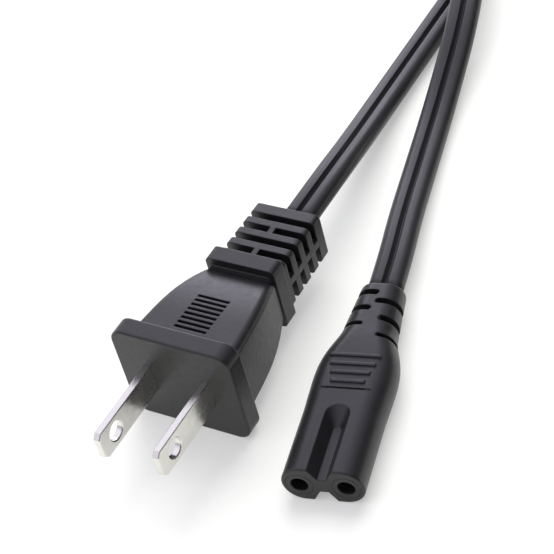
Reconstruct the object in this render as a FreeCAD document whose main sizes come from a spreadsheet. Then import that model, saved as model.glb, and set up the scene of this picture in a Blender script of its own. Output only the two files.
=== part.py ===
"""A mains lead: a figure-eight appliance connector, its flat twin cord and a plug with two flat blades.

Millimetres. The origin lies on the floor, under the middle of the connector. +X is to the right when looking
into the connector's back along its pins' openings, +Y runs from its mating face to its cord, +Z is up.
The connector's pieces are drawn from the centre of its mating face, the plug's from the centre of the front of
its flange, with Y towards the cord in both.
"""
import FreeCAD, Part
import math
import os

import Sketcher

SIZES = {
    # Pins and contacts
    "pin_half_spacing": 4.3,
    "pin_radius": 1.2,
    "pin_play": 0.45,
    "contact_wall": 0.35,
    "contact_start": 4.5,
    "contact_sleeve_end": 13.5,
    "contact_neck_end": 16.5,
    "contact_end": 21.0,
    "contact_slit": 0.4,
    "strand_setback": 0.3,
    # Connector's nose
    "nose_half_width": 7.7,
    "nose_half_height": 4.04,
    "nose_length": 16.0,
    "nose_edge": 0.35,
    "nose_wall": 1.2,
    "groove_half_width": 2.35,
    "groove_floor_half_width": 0.8,
    "groove_depth": 2.51,
    "groove_length": 13.4,
    "groove_end_run": 1.9,
    # Connector's insert
    "core_lobe_wall": 0.95,
    "core_web_half_height": 0.8,
    "core_end": 14.5,
    # Connector's hood, which narrows from the nose to the strain relief
    "hood_length": 19.5,
    "hood_front_half_width": 7.83,
    "hood_half_width": 7.95,
    "hood_shoulder_half_width": 7.5,
    "hood_neck_half_width": 6.45,
    "sleeve_front_half_width": 5.4,
    "sleeve_front_half_height": 3.82,
    # Grip bars on the hood
    "grip_first": 21.15,
    "grip_pitch": 2.13,
    "grip_thickness": 0.8,
    "grip_rise": 0.35,
    "grip_edge": 0.2,
    "grip_half_length": 3.25,
    "grip_growth": 0.54,
    "line_place": 19.5,
    "line_half_length": 3.6,
    "line_width": 0.25,
    "line_depth": 0.2,
    # Connector's strain relief and its slots, each place counted from the cord's exit
    "sleeve_length": 12.0,
    "sleeve_wall_side": 0.9,
    "sleeve_wall_top": 1.5,
    "sleeve_edge": 0.8,
    "slot_width": 1.4,
    "front_slot_width": 1.0,
    "right_slot_place": 5.2,
    "right_slot_pitch": 4.5,
    "right_slot_rear_end": 0.0,
    "right_slot_middle_end": 1.6,
    "right_slot_front_end": 2.2,
    "left_slot_place": 2.9,
    "left_slot_pitch": 4.27,
    "left_slot_rear_end": 0.3,
    "left_slot_middle_end": -0.3,
    "left_slot_front_end": -0.9,
    "spine_wall": 0.4,
    # Wires inside both mouldings
    "wire_radius": 1.6,
    "wire_gap": 0.2,
    "strand_radius": 0.6,
    "wire_start": 22.0,
    "bend_start": 23.0,
    "bend_end": 33.0,
    # Plug's blades
    "blade_half_spacing": 6.35,
    "blade_height": 6.35,
    "blade_thickness": 1.5,
    "blade_length": 18.1,
    "blade_tip": 1.0,
    "blade_edge": 0.25,
    "blade_hole_radius": 1.95,
    "blade_hole_rim": 0.2,
    "blade_hole_place": 13.35,
    "blade_root": 5.0,
    "strap_half_height": 1.6,
    "strap_overlap": 0.4,
    "barrel_radius": 1.3,
    "barrel_start": 9.0,
    "barrel_length": 5.0,
    "barrel_bore": 4.4,
    # Plug's insert
    "insert_side": 2.65,
    "insert_top": 1.4,
    "insert_corner": 1.0,
    "insert_start": 1.2,
    "insert_end": 8.7,
    # Plug's flange and body
    "flange_half_width": 12.95,
    "flange_half_height": 10.75,
    "flange_thickness": 4.0,
    "flange_corner": 3.0,
    "flange_edge": 0.4,
    "body_length": 21.1,
    "body_front_half_width": 11.35,
    "body_front_half_height": 7.75,
    "body_rear_half_width": 7.3,
    "body_rear_half_height": 5.0,
    "body_corner": 1.5,
    # Grip slots in the plug's body
    "plug_grip_first": 7.25,
    "plug_grip_pitch": 1.22,
    "plug_grip_half_length": 3.45,
    "plug_grip_width": 0.62,
    "plug_grip_depth": 0.8,
    "plug_grip_slope": 3.7,
    # Plug's collar and strain relief
    "collar_length": 3.7,
    "collar_half_width": 7.6,
    "collar_half_height": 7.3,
    "collar_edge": 1.2,
    "ledge_length": 0.35,
    "ledge_drop": 1.65,
    "relief_length": 15.3,
    "relief_half_width": 7.1,
    "relief_front_half_height": 5.55,
    "relief_rear_half_height": 5.1,
    "relief_corner": 1.0,
    "gap_first": 1.3,
    "gap_width": 1.6,
    "gap_pitch": 3.17,
    "gap_rail_half_height": 0.8,
    "web_half_width": 0.6,
    "plug_wire_start": 14.4,
    "plug_bend_start": 15.0,
    "plug_bend_end": 27.0,
    # Where the plug lies
    "plug_place_x": -30.05,
    "plug_place_y": -8.49,
    "plug_turn": -13.5,
    # Cord and its hank
    "cord_width": 7.0,
    "cord_thickness": 3.6,
    "connector_lead": 9.0,
    "plug_lead": 15.7,
    "hank_lead": 13.75,
    "hank_place_x": -15.0,
    "hank_near": 204.25,
    "hank_run": 52.0,
    "hank_turn": 24.0,
    "hank_clearance": 0.4,
    "tie_thickness": 0.8,
    "tie_width": 6.0,
}
GRIP_BARS = 4
SLOT_ROWS = ("rear", "middle", "front")
PLUG_GRIP_SLOTS = 8
RELIEF_GAPS = 4
WEBBED_GAPS = (0, 2)
HANK_LAYERS = 5
SIDES = (("right", 1), ("left", -1))

# Points that the cord passes between its straight leads out of the connector or the plug and into the hank.
FROM_CONNECTOR = (
    (-0.95, 45.5, 3.25),
    (-1.5, 62.0, 2.15),
    (-1.65, 84.0, 2.3),
    (-0.4, 107.25, 7.9),
    (-3.5, 133.25, 9.4),
    (-20.5, 158.25, 13.8),
    (-34.2, 175.5, 17.2),
)
FROM_PLUG = (
    (-15.25, 65.0, 6.6),
    (-13.6, 86.0, 2.3),
    (-4.0, 129.25, 1.85),
    (3.9, 159.25, 1.85),
)
ARC_SHARE = 0.45
TOLERANCE = 1e-4

doc = FreeCAD.newDocument("figure_eight_lead")
sheet = doc.addObject("Spreadsheet::Sheet", "Sizes")
for row, (alias, number) in enumerate(SIZES.items(), start=1):
    sheet.set(f"A{row}", alias.replace("_", " "))
    sheet.set(f"B{row}", str(number))
    sheet.setAlias(f"B{row}", alias)
doc.recompute()


class Size:
    """A number in millimetres or degrees, with the formula that ties it to the sheet."""

    def __init__(self, value, text):
        self.value = value
        self.text = text

    def joined(self, sign, other, value):
        return Size(value, f"({self.text} {sign} {size(other).text})")

    def __add__(self, other):
        return self.joined("+", other, self.value + size(other).value)

    def __sub__(self, other):
        return self.joined("-", other, self.value - size(other).value)

    def __mul__(self, other):
        return self.joined("*", other, self.value * size(other).value)

    def __truediv__(self, other):
        return self.joined("/", other, self.value / size(other).value)

    def __neg__(self):
        return size(0) - self


def size(item):
    """The item as a Size, whether it is one, the name of a cell or a plain number."""
    if isinstance(item, Size):
        return item
    if isinstance(item, str):
        return Size(float(sheet.get(item)), "Sizes." + item)
    return Size(float(item), repr(float(item)))


class Sizes:
    """Every cell of the sheet as an attribute."""

    def __getattr__(self, name):
        return size(name)


cell = Sizes()
X_AXIS = FreeCAD.Vector(1, 0, 0)
Z_AXIS = FreeCAD.Vector(0, 0, 1)


# Frames

def at_connector(item):
    """Puts a piece that is drawn in the connector's frame on the floor, with the connector's middle at the origin."""
    item.setExpression("Placement.Base.y", (connector_length() / -2).text)
    item.setExpression("Placement.Base.z", cell.nose_half_height.text)


def at_plug(item):
    """Puts a piece that is drawn in the plug's frame where the plug lies, on its flange's lower edge."""
    turn = FreeCAD.Rotation(Z_AXIS, cell.plug_turn.value)
    item.Placement = FreeCAD.Placement(FreeCAD.Vector(0, 0, 0), turn)
    item.setExpression("Placement.Base.x", cell.plug_place_x.text)
    item.setExpression("Placement.Base.y", cell.plug_place_y.text)
    item.setExpression("Placement.Base.z", cell.flange_half_height.text)


def at_hank(item):
    """Puts a piece that is drawn about the hank's middle, at the hank's underside, where the hank lies."""
    item.setExpression("Placement.Base.x", cell.hank_place_x.text)
    item.setExpression("Placement.Base.y", (cell.hank_near + cell.hank_run / 2).text)
    item.setExpression("Placement.Base.z", cell.tie_thickness.text)


def connector_length():
    return cell.nose_length + cell.hood_length + cell.sleeve_length


def plug_length():
    return collar_end() + cell.relief_length


def body_end():
    return cell.flange_thickness + cell.body_length


def collar_end():
    return body_end() + cell.collar_length


def wire_half_spacing():
    return cell.wire_radius + cell.wire_gap / 2


def hank_height():
    return cell.cord_thickness * HANK_LAYERS


# Sketches

def new_body(label, place):
    body = doc.addObject("PartDesign::Body", label)
    place(body)
    return body


def new_sketch(body, name, role, away=0, along=0, turned=0):
    """A sketch on one of the body's own planes, moved by away along the plane's normal and by along in it."""
    plane = next(item for item in body.Origin.OriginFeatures if item.Role == role)
    sketch = body.newObject("Sketcher::SketchObject", name)
    sketch.AttachmentSupport = (plane, [""])
    sketch.MapMode = "FlatFace"
    sketch.AttachmentOffset = FreeCAD.Placement(FreeCAD.Vector(0, 0, 0), FreeCAD.Rotation(Z_AXIS, turned))
    sketch.setExpression("AttachmentOffset.Base.x", size(along).text)
    sketch.setExpression("AttachmentOffset.Base.z", size(away).text)
    return sketch


def across(body, name, place=0):
    """A sketch that faces along the cord, at this place behind the front."""
    return new_sketch(body, name, "XZ_Plane", -size(place))


def plan(body, name, height=0, along=0, turned=0):
    """A sketch that is seen from above, at this height."""
    return new_sketch(body, name, "XY_Plane", height, along, turned)


def elevation(body, name, place=0, along=0):
    """A sketch that is seen from the side, at this place to the right and with its origin this far back."""
    return new_sketch(body, name, "YZ_Plane", place, along)


def constrain(sketch, kind, *what):
    return sketch.addConstraint(Sketcher.Constraint(kind, *what))


def dimension(sketch, kind, value, *what):
    """A dimension that follows the sheet."""
    index = constrain(sketch, kind, *what, value.value)
    sketch.setExpression(f"Constraints[{index}]", value.text)


def locate(sketch, geometry, point, x, y):
    """Ties a point to the sketch's origin along both axes."""
    for kind, axis, distance in (("DistanceX", -2, size(x)), ("DistanceY", -1, size(y))):
        if distance.value > 0:
            dimension(sketch, kind, distance, -1, 1, geometry, point)
        elif distance.value < 0:
            dimension(sketch, kind, -distance, geometry, point, -1, 1)
        else:
            constrain(sketch, "PointOnObject", geometry, point, axis)


def vector(x, y):
    return FreeCAD.Vector(size(x).value, size(y).value, 0)


def outline(sketch, corners):
    """A closed outline of straight lines through the corners."""
    first = sketch.GeometryCount
    count = len(corners)
    for number in range(count):
        ends = vector(*corners[number]), vector(*corners[(number + 1) % count])
        sketch.addGeometry(Part.LineSegment(*ends), False)
    for number in range(count):
        constrain(sketch, "Coincident", first + number, 2, first + (number + 1) % count, 1)
        locate(sketch, first + number, 1, *corners[number])


def rectangle(sketch, left, right, low, high):
    outline(sketch, ((left, low), (right, low), (right, high), (left, high)))


def circle(sketch, x, y, radius):
    index = sketch.addGeometry(Part.Circle(vector(x, y), Z_AXIS, size(radius).value), False)
    locate(sketch, index, 3, x, y)
    dimension(sketch, "Radius", size(radius), index)


def arc(sketch, centre, radius, start, end):
    """An arc, counter-clockwise, between two angles in degrees."""
    round_edge = Part.Circle(centre, Z_AXIS, radius)
    return sketch.addGeometry(Part.ArcOfCircle(round_edge, math.radians(start), math.radians(end)), False)


def line(sketch, start, end):
    return sketch.addGeometry(Part.LineSegment(start, end), False)


def stadium(sketch, half_width, half_height):
    """A flat outline with full-round ends, about the sketch's origin."""
    radius = size(half_height)
    reach = size(half_width) - radius
    r, c = radius.value, reach.value
    top = line(sketch, FreeCAD.Vector(-c, r, 0), FreeCAD.Vector(c, r, 0))
    right = arc(sketch, FreeCAD.Vector(c, 0, 0), r, -90, 90)
    low = line(sketch, FreeCAD.Vector(c, -r, 0), FreeCAD.Vector(-c, -r, 0))
    left = arc(sketch, FreeCAD.Vector(-c, 0, 0), r, 90, 270)
    constrain(sketch, "Tangent", top, 2, right, 2)
    constrain(sketch, "Tangent", right, 1, low, 1)
    constrain(sketch, "Tangent", low, 2, left, 2)
    constrain(sketch, "Tangent", left, 1, top, 1)
    constrain(sketch, "Equal", right, left)
    constrain(sketch, "Symmetric", left, 3, right, 3, -1, 1)
    constrain(sketch, "PointOnObject", right, 3, -1)
    dimension(sketch, "Radius", radius, right)
    dimension(sketch, "DistanceX", reach, -1, 1, right, 3)


def rounded_rectangle(sketch, half_width, half_height, radius):
    """A rectangle with round corners, about the sketch's origin."""
    width, height, corner = size(half_width), size(half_height), size(radius)
    w, h, r = width.value, height.value, corner.value
    top = line(sketch, FreeCAD.Vector(r - w, h, 0), FreeCAD.Vector(w - r, h, 0))
    top_right = arc(sketch, FreeCAD.Vector(w - r, h - r, 0), r, 0, 90)
    right = line(sketch, FreeCAD.Vector(w, h - r, 0), FreeCAD.Vector(w, r - h, 0))
    low_right = arc(sketch, FreeCAD.Vector(w - r, r - h, 0), r, -90, 0)
    low = line(sketch, FreeCAD.Vector(w - r, -h, 0), FreeCAD.Vector(r - w, -h, 0))
    low_left = arc(sketch, FreeCAD.Vector(r - w, r - h, 0), r, 180, 270)
    left = line(sketch, FreeCAD.Vector(-w, r - h, 0), FreeCAD.Vector(-w, h - r, 0))
    top_left = arc(sketch, FreeCAD.Vector(r - w, h - r, 0), r, 90, 180)
    around = (top, top_right, right, low_right, low, low_left, left, top_left)
    for number in range(0, 8, 2):
        side, turn, following = around[number], around[number + 1], around[(number + 2) % 8]
        constrain(sketch, "Tangent", side, 2, turn, 2)
        constrain(sketch, "Tangent", turn, 1, following, 1)
    for side, way in ((top, "Horizontal"), (right, "Vertical"), (low, "Horizontal"), (left, "Vertical")):
        constrain(sketch, way, side)
    for turn in (low_right, low_left, top_left):
        constrain(sketch, "Equal", top_right, turn)
    constrain(sketch, "Symmetric", top_right, 3, low_left, 3, -1, 1)
    dimension(sketch, "Radius", corner, top_right)
    dimension(sketch, "DistanceX", width - corner, -1, 1, top_right, 3)
    dimension(sketch, "DistanceY", height - corner, -1, 1, top_right, 3)


def round_ended(sketch, side, inner, outer, place, width):
    """A slot outline that runs along X from a round inner end to a square outer one, on this side of the middle."""
    radius = size(width) / 2
    centre = size(inner) + radius * side
    c, o, p, r = centre.value, size(outer).value, size(place).value, radius.value
    low = line(sketch, FreeCAD.Vector(o, p - r, 0), FreeCAD.Vector(c, p - r, 0))
    if side > 0:
        turn = arc(sketch, FreeCAD.Vector(c, p, 0), r, 90, 270)
    else:
        turn = arc(sketch, FreeCAD.Vector(c, p, 0), r, -90, 90)
    low_point = 2 if side > 0 else 1
    top_point = 1 if side > 0 else 2
    top = line(sketch, FreeCAD.Vector(c, p + r, 0), FreeCAD.Vector(o, p + r, 0))
    end = line(sketch, FreeCAD.Vector(o, p + r, 0), FreeCAD.Vector(o, p - r, 0))
    constrain(sketch, "Tangent", low, 2, turn, low_point)
    constrain(sketch, "Tangent", turn, top_point, top, 1)
    constrain(sketch, "Coincident", top, 2, end, 1)
    constrain(sketch, "Coincident", end, 2, low, 1)
    constrain(sketch, "Horizontal", low)
    constrain(sketch, "Horizontal", top)
    constrain(sketch, "Vertical", end)
    dimension(sketch, "Radius", radius, turn)
    locate(sketch, turn, 3, centre, place)
    outer_size = size(outer)
    if outer_size.value > 0:
        dimension(sketch, "DistanceX", outer_size, -1, 1, end, 1)
    else:
        dimension(sketch, "DistanceX", -outer_size, end, 1, -1, 1)


def wire_path(sketch, side, start, bend_start, bend_end, end, spread):
    """A wire's line from a contact to the cord: straight, a bend and an equal bend back, and straight again."""
    near, far = size(spread), wire_half_spacing()
    shift = near.value - far.value
    reach = size(bend_end).value - size(bend_start).value
    turn = 2 * math.atan2(shift, reach)
    radius = reach / (2 * math.sin(turn))
    degrees = math.degrees(turn)
    start_x, end_x = side * near.value, side * far.value
    first_y, last_y = size(bend_start).value, size(bend_end).value
    lead = line(sketch, vector(start_x, start), vector(start_x, bend_start))
    if side > 0:
        out = arc(sketch, FreeCAD.Vector(start_x - radius, first_y, 0), radius, 0, degrees)
        back = arc(sketch, FreeCAD.Vector(end_x + radius, last_y, 0), radius, 180, 180 + degrees)
    else:
        out = arc(sketch, FreeCAD.Vector(start_x + radius, first_y, 0), radius, 180 - degrees, 180)
        back = arc(sketch, FreeCAD.Vector(end_x - radius, last_y, 0), radius, -degrees, 0)
    join = 1 if side > 0 else 2
    middle = 2 if side > 0 else 1
    tail = line(sketch, vector(end_x, bend_end), vector(end_x, end))
    constrain(sketch, "Tangent", lead, 2, out, join)
    constrain(sketch, "Tangent", out, middle, back, middle)
    constrain(sketch, "Tangent", back, join, tail, 1)
    constrain(sketch, "Equal", out, back)
    constrain(sketch, "Vertical", lead)
    constrain(sketch, "Vertical", tail)
    locate(sketch, lead, 1, near * side, start)
    locate(sketch, tail, 2, far * side, end)
    dimension(sketch, "DistanceY", size(bend_start), -1, 1, lead, 2)
    dimension(sketch, "DistanceY", size(bend_end), -1, 1, tail, 1)


# Features

def extruded(body, kind, sketch, length, backwards=False, both_ways=False):
    feature = body.newObject("PartDesign::" + kind, f"{body.Label}_{sketch.Label}_{kind.lower()}")
    feature.Profile = (sketch, [""])
    feature.Type = "Length"
    feature.SideType = "Symmetric" if both_ways else "One side"
    feature.Reversed = backwards
    feature.setExpression("Length", size(length).text)
    doc.recompute()
    return feature


def pad_rearward(body, sketch, length):
    """Adds material from a sketch across the piece towards the cord."""
    return extruded(body, "Pad", sketch, length, backwards=True)


def pad_upward(body, sketch, length):
    return extruded(body, "Pad", sketch, length)


def cut_rearward(body, sketch, length):
    """Removes material from a sketch across the piece towards the cord."""
    return cut(body, sketch, length)


def cut(body, sketch, length, backwards=False, both_ways=False):
    """Removes material against the sketch's normal, or along it when backwards, and checks that some went."""
    before = body.Tip.Shape.Volume
    feature = extruded(body, "Pocket", sketch, length, backwards, both_ways)
    check_removal(feature, before)
    return feature


def check_removal(feature, before):
    """Stops if a cut left the volume as it was before."""
    if feature.Shape.Volume > before - TOLERANCE:
        raise RuntimeError(f"{feature.Label} removed nothing")


def loft(body, sections, ruled=False, kind="AdditiveLoft"):
    feature = body.newObject("PartDesign::" + kind, f"{body.Label}_{sections[0].Label}_loft")
    feature.Profile = (sections[0], [""])
    feature.Sections = [(section, [""]) for section in sections[1:]]
    feature.Ruled = ruled
    doc.recompute()
    return feature


def revolve(body, sketch, kind="Revolution"):
    """Turns a half profile about the sketch's own upright axis."""
    feature = body.newObject("PartDesign::" + kind, f"{body.Label}_{sketch.Label}_turned")
    feature.Profile = (sketch, [""])
    feature.ReferenceAxis = (sketch, ["V_Axis"])
    feature.Angle = 360
    doc.recompute()
    return feature


def repeat(body, feature, sketch, axis, spacing, count, backwards=False):
    """Repeats a feature along an axis of its sketch."""
    pattern = body.newObject("PartDesign::LinearPattern", f"{feature.Label}_row")
    pattern.Originals = [feature]
    pattern.Direction = (sketch, [axis])
    pattern.Mode = "Spacing"
    pattern.setExpression("Offset", size(spacing).text)
    pattern.Occurrences = count
    pattern.Reversed = backwards
    body.Tip = pattern
    doc.recompute()
    return pattern


def edge_feature(body, kind, name, amount, chosen):
    """Rounds or bevels the edges of the body so far that chosen picks."""
    base = body.Tip
    picked = [f"Edge{number}" for number, edge in enumerate(base.Shape.Edges, 1) if chosen(edge)]
    if not picked:
        raise RuntimeError(f"{name} finds no edge")
    feature = body.newObject("PartDesign::" + kind, f"{body.Label}_{name}")
    feature.Base = (base, picked)
    feature.setExpression("Radius" if kind == "Fillet" else "Size", size(amount).text)
    doc.recompute()
    return feature


def lies_at(place, axis="Y"):
    """Picks the edges that lie in the plane across this axis at this place."""
    level = size(place).value

    def chosen(edge):
        low, high = getattr(edge.BoundBox, axis + "Min"), getattr(edge.BoundBox, axis + "Max")
        return abs(low - level) < TOLERANCE and abs(high - level) < TOLERANCE

    return chosen


def fused(label, pieces):
    union = doc.addObject("Part::MultiFuse", label)
    union.Shapes = pieces
    return union


def hollowed(label, base, tool):
    result = doc.addObject("Part::Cut", label)
    result.Base = base
    result.Tool = tool
    return result


# Pieces inside both mouldings

def wire_solid(label, place, side, radius, start, bend_start, bend_end, end, spread):
    """A round rod along a wire's line."""
    body = new_body(label, place)
    path = plan(body, "line")
    wire_path(path, side, start, bend_start, bend_end, end, spread)
    section = across(body, "section", start)
    circle(section, size(spread) * side, 0, radius)
    rod = body.newObject("PartDesign::AdditivePipe", f"{label}_rod")
    rod.Profile = (section, [""])
    rod.Spine = (path, ["Edge1", "Edge2", "Edge3", "Edge4"])
    doc.recompute()
    return body


def connector_wiring(name, side):
    """The copper and the insulation from one contact to the cord, and the space that the insulation fills."""
    ends = (cell.bend_start, cell.bend_end, connector_length(), cell.pin_half_spacing)
    strands = wire_solid(f"connector_strands_{name}", at_connector, side, cell.strand_radius,
                         cell.contact_neck_end + cell.strand_setback, *ends)
    space = wire_solid(f"connector_wire_space_{name}", at_connector, side, cell.wire_radius,
                       cell.wire_start, *ends)
    wire = hollowed(f"connector_wire_{name}", space, strands)
    return strands, space, wire


def plug_wiring(name, side):
    """The copper and the insulation from one blade to the cord, and the space that the insulation fills."""
    ends = (cell.plug_bend_start, cell.plug_bend_end, plug_length(), cell.blade_half_spacing)
    strands = wire_solid(f"plug_strands_{name}", at_plug, side, cell.strand_radius,
                         barrel_end() - cell.barrel_bore, *ends)
    space = wire_solid(f"plug_wire_space_{name}", at_plug, side, cell.wire_radius,
                       cell.plug_wire_start, *ends)
    wire = hollowed(f"plug_wire_{name}", space, strands)
    return strands, space, wire


# Connector

def contact_radius():
    return cell.pin_radius + cell.contact_wall


def contact(name, side):
    """A slit sleeve that grips a pin and narrows to a crimp on the copper."""
    body = new_body(f"contact_{name}", at_connector)
    tail = cell.strand_radius + cell.contact_wall
    profile = plan(body, "profile", along=cell.pin_half_spacing * side)
    outline(profile, (
        (cell.pin_radius, cell.contact_start),
        (contact_radius(), cell.contact_start),
        (contact_radius(), cell.contact_sleeve_end),
        (tail, cell.contact_neck_end),
        (tail, cell.contact_end),
        (cell.strand_radius, cell.contact_end),
        (cell.strand_radius, cell.contact_neck_end),
        (cell.pin_radius, cell.contact_sleeve_end),
    ))
    revolve(body, profile)
    slit = plan(body, "slit", along=cell.pin_half_spacing * side)
    rectangle(slit, -cell.contact_slit / 2, cell.contact_slit / 2, 0, cell.contact_sleeve_end)
    cut(body, slit, contact_radius() * 2, backwards=True)
    return body


def pin_space(name, side):
    """The room that a pin's opening and a contact take."""
    body = new_body(f"pin_space_{name}", at_connector)
    tail = cell.strand_radius + cell.contact_wall
    opening = cell.pin_radius + cell.pin_play
    profile = plan(body, "profile", along=cell.pin_half_spacing * side)
    outline(profile, (
        (0, -cell.nose_wall),
        (opening, -cell.nose_wall),
        (opening, cell.nose_wall),
        (contact_radius(), cell.nose_wall),
        (contact_radius(), cell.contact_sleeve_end),
        (tail, cell.contact_neck_end),
        (tail, cell.contact_end),
        (0, cell.contact_end),
    ))
    revolve(body, profile)
    return body


def core_blank():
    """The connector's insert before its bores: two round lobes and the web between them."""
    body = new_body("core_blank", at_connector)
    length = cell.core_end - cell.nose_wall
    web = across(body, "web", cell.nose_wall)
    rectangle(web, -cell.pin_half_spacing, cell.pin_half_spacing,
              -cell.core_web_half_height, cell.core_web_half_height)
    pad_rearward(body, web, length)
    for name, side in SIDES:
        lobe = across(body, f"lobe_{name}", cell.nose_wall)
        circle(lobe, cell.pin_half_spacing * side, 0, contact_radius() + cell.core_lobe_wall)
        pad_rearward(body, lobe, length)
    return body


def hood(body):
    """Adds the hood, lofted smoothly through flat-sided sections, and the strain relief's straight taper behind it."""
    end = connector_length()
    sleeve = cell.nose_length + cell.hood_length
    full = cell.nose_half_height
    sections = (
        ("hood_start", cell.nose_length, cell.nose_half_width, full),
        ("hood_front", cell.nose_length + cell.hood_length * 0.17, cell.hood_front_half_width, full),
        ("hood_widest", cell.nose_length + cell.hood_length * 0.385, cell.hood_half_width, full),
        ("hood_shoulder", cell.nose_length + cell.hood_length * 0.64, cell.hood_shoulder_half_width, full * 0.997),
        ("hood_neck", cell.nose_length + cell.hood_length * 0.82, cell.hood_neck_half_width, full * 0.985),
        ("hood_end", sleeve, cell.sleeve_front_half_width, cell.sleeve_front_half_height),
        ("sleeve_start", sleeve, cell.sleeve_front_half_width, cell.sleeve_front_half_height),
        ("sleeve_end", end, cell.cord_width / 2 + cell.sleeve_wall_side,
         cell.cord_thickness / 2 + cell.sleeve_wall_top),
    )
    drawn = []
    for name, place, half_width, half_height in sections:
        section = across(body, name, place)
        stadium(section, half_width, half_height)
        drawn.append(section)
    loft(body, drawn[:-2])
    loft(body, drawn[-2:], ruled=True)


def groove_outline(body, name, height, half_width, end):
    """A groove's outline at one height: open at the face, with a round end about this place."""
    lift = 1.0
    sketch = plan(body, name, height, turned=90)
    round_ended(sketch, -1, end + half_width, -lift, 0, half_width * 2)
    return sketch


def grooves(body):
    """Cuts the two grooves that give the nose its figure-eight face, each with a round end that slopes forward."""
    lift = 1.0
    flank = (cell.groove_half_width - cell.groove_floor_half_width) / cell.groove_depth
    slope = cell.groove_end_run / cell.groove_depth
    for name, side in (("top", 1), ("low", -1)):
        before = body.Tip.Shape.Volume
        mouth = groove_outline(body, f"groove_mouth_{name}", (cell.nose_half_height + lift) * side,
                               cell.groove_half_width + flank * lift, cell.groove_length + slope * lift)
        floor = groove_outline(body, f"groove_floor_{name}", (cell.nose_half_height - cell.groove_depth) * side,
                               cell.groove_floor_half_width, cell.groove_length - cell.groove_end_run)
        check_removal(loft(body, (mouth, floor), ruled=True, kind="SubtractiveLoft"), before)


def slots(body):
    """Cuts the staggered strain-relief slots through from both sides."""
    rear = connector_length()
    for name, side in SIDES:
        place = rear - size(f"{name}_slot_place")
        for row in SLOT_ROWS:
            width = cell.front_slot_width if row == SLOT_ROWS[-1] else cell.slot_width
            sketch = plan(body, f"slot_{name}_{row}")
            round_ended(sketch, side, size(f"{name}_slot_{row}_end"), cell.hood_half_width * 1.5 * side,
                        place, width)
            cut(body, sketch, cell.nose_half_height * 4, both_ways=True)
            place = place - size(f"{name}_slot_pitch")


def spine(body, start, end, name="spine"):
    """Puts back the flat-sided spine round both wires."""
    sketch = across(body, name, start)
    stadium(sketch, wire_half_spacing() + cell.wire_radius + cell.spine_wall, cell.wire_radius + cell.spine_wall)
    pad_rearward(body, sketch, end - start)


def grip_bars(body):
    """Adds the raised bars on the hood, each a little longer than the one in front."""
    sunk = 0.6
    sketch = plan(body, "grip_bars", cell.nose_half_height - sunk)
    for number in range(GRIP_BARS):
        half_length = cell.grip_half_length + cell.grip_growth * number
        middle = cell.grip_first + cell.grip_pitch * number
        half = cell.grip_thickness / 2
        rectangle(sketch, -half_length, half_length, middle - half, middle + half)
    pad_upward(body, sketch, cell.grip_rise + sunk)
    edge_feature(body, "Fillet", "grip_edge", cell.grip_edge, lies_at(cell.nose_half_height + cell.grip_rise, "Z"))


def engraved_line(body):
    """Cuts a fine straight line across the hood in front of the grip bars."""
    sketch = plan(body, "engraved_line", cell.nose_half_height)
    half = cell.line_width / 2
    rectangle(sketch, -cell.line_half_length, cell.line_half_length, cell.line_place - half, cell.line_place + half)
    cut(body, sketch, cell.line_depth)


def connector_moulding():
    """The connector's outer form, still solid."""
    body = new_body("connector_moulding", at_connector)
    nose = across(body, "nose")
    stadium(nose, cell.nose_half_width, cell.nose_half_height)
    pad_rearward(body, nose, cell.nose_length)
    edge_feature(body, "Fillet", "nose_edge", cell.nose_edge, lies_at(0))
    hood(body)
    edge_feature(body, "Fillet", "sleeve_edge", cell.sleeve_edge, lies_at(connector_length()))
    grooves(body)
    slots(body)
    first_slot = connector_length() - cell.right_slot_place - cell.right_slot_pitch * (len(SLOT_ROWS) - 1)
    spine(body, first_slot - cell.slot_width, connector_length())
    engraved_line(body)
    grip_bars(body)
    return body


def connector():
    """Every piece of the connector."""
    spaces, nodes = [], []
    pins = []
    for name, side in SIDES:
        strands, wire_space, wire = connector_wiring(name, side)
        room = pin_space(name, side)
        pins.append(room)
        spaces += [strands, wire_space, room]
        nodes += [contact(name, side), strands, wire]
    blank = core_blank()
    core = hollowed("connector_core", blank, fused("pin_spaces", pins))
    inside = fused("connector_inside", [blank] + spaces)
    shell = hollowed("connector_shell", connector_moulding(), inside)
    return [shell, core] + nodes


# Plug

def barrel_end():
    return cell.barrel_start + cell.barrel_length


def on_broad_face(edge, place):
    """Picks the edges of both broad faces in front of the strap."""
    box = edge.BoundBox
    away = max(abs(box.XMin - place.value), abs(box.XMax - place.value))
    flat = box.XLength < TOLERANCE and abs(away - cell.blade_thickness.value / 2) < TOLERANCE
    return flat and box.YMax < cell.blade_root.value + TOLERANCE


def is_hole_edge(edge):
    """Picks the two round edges of the hole."""
    curve = edge.Curve
    return isinstance(curve, Part.Circle) and abs(curve.Radius - cell.blade_hole_radius.value) < TOLERANCE


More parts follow.
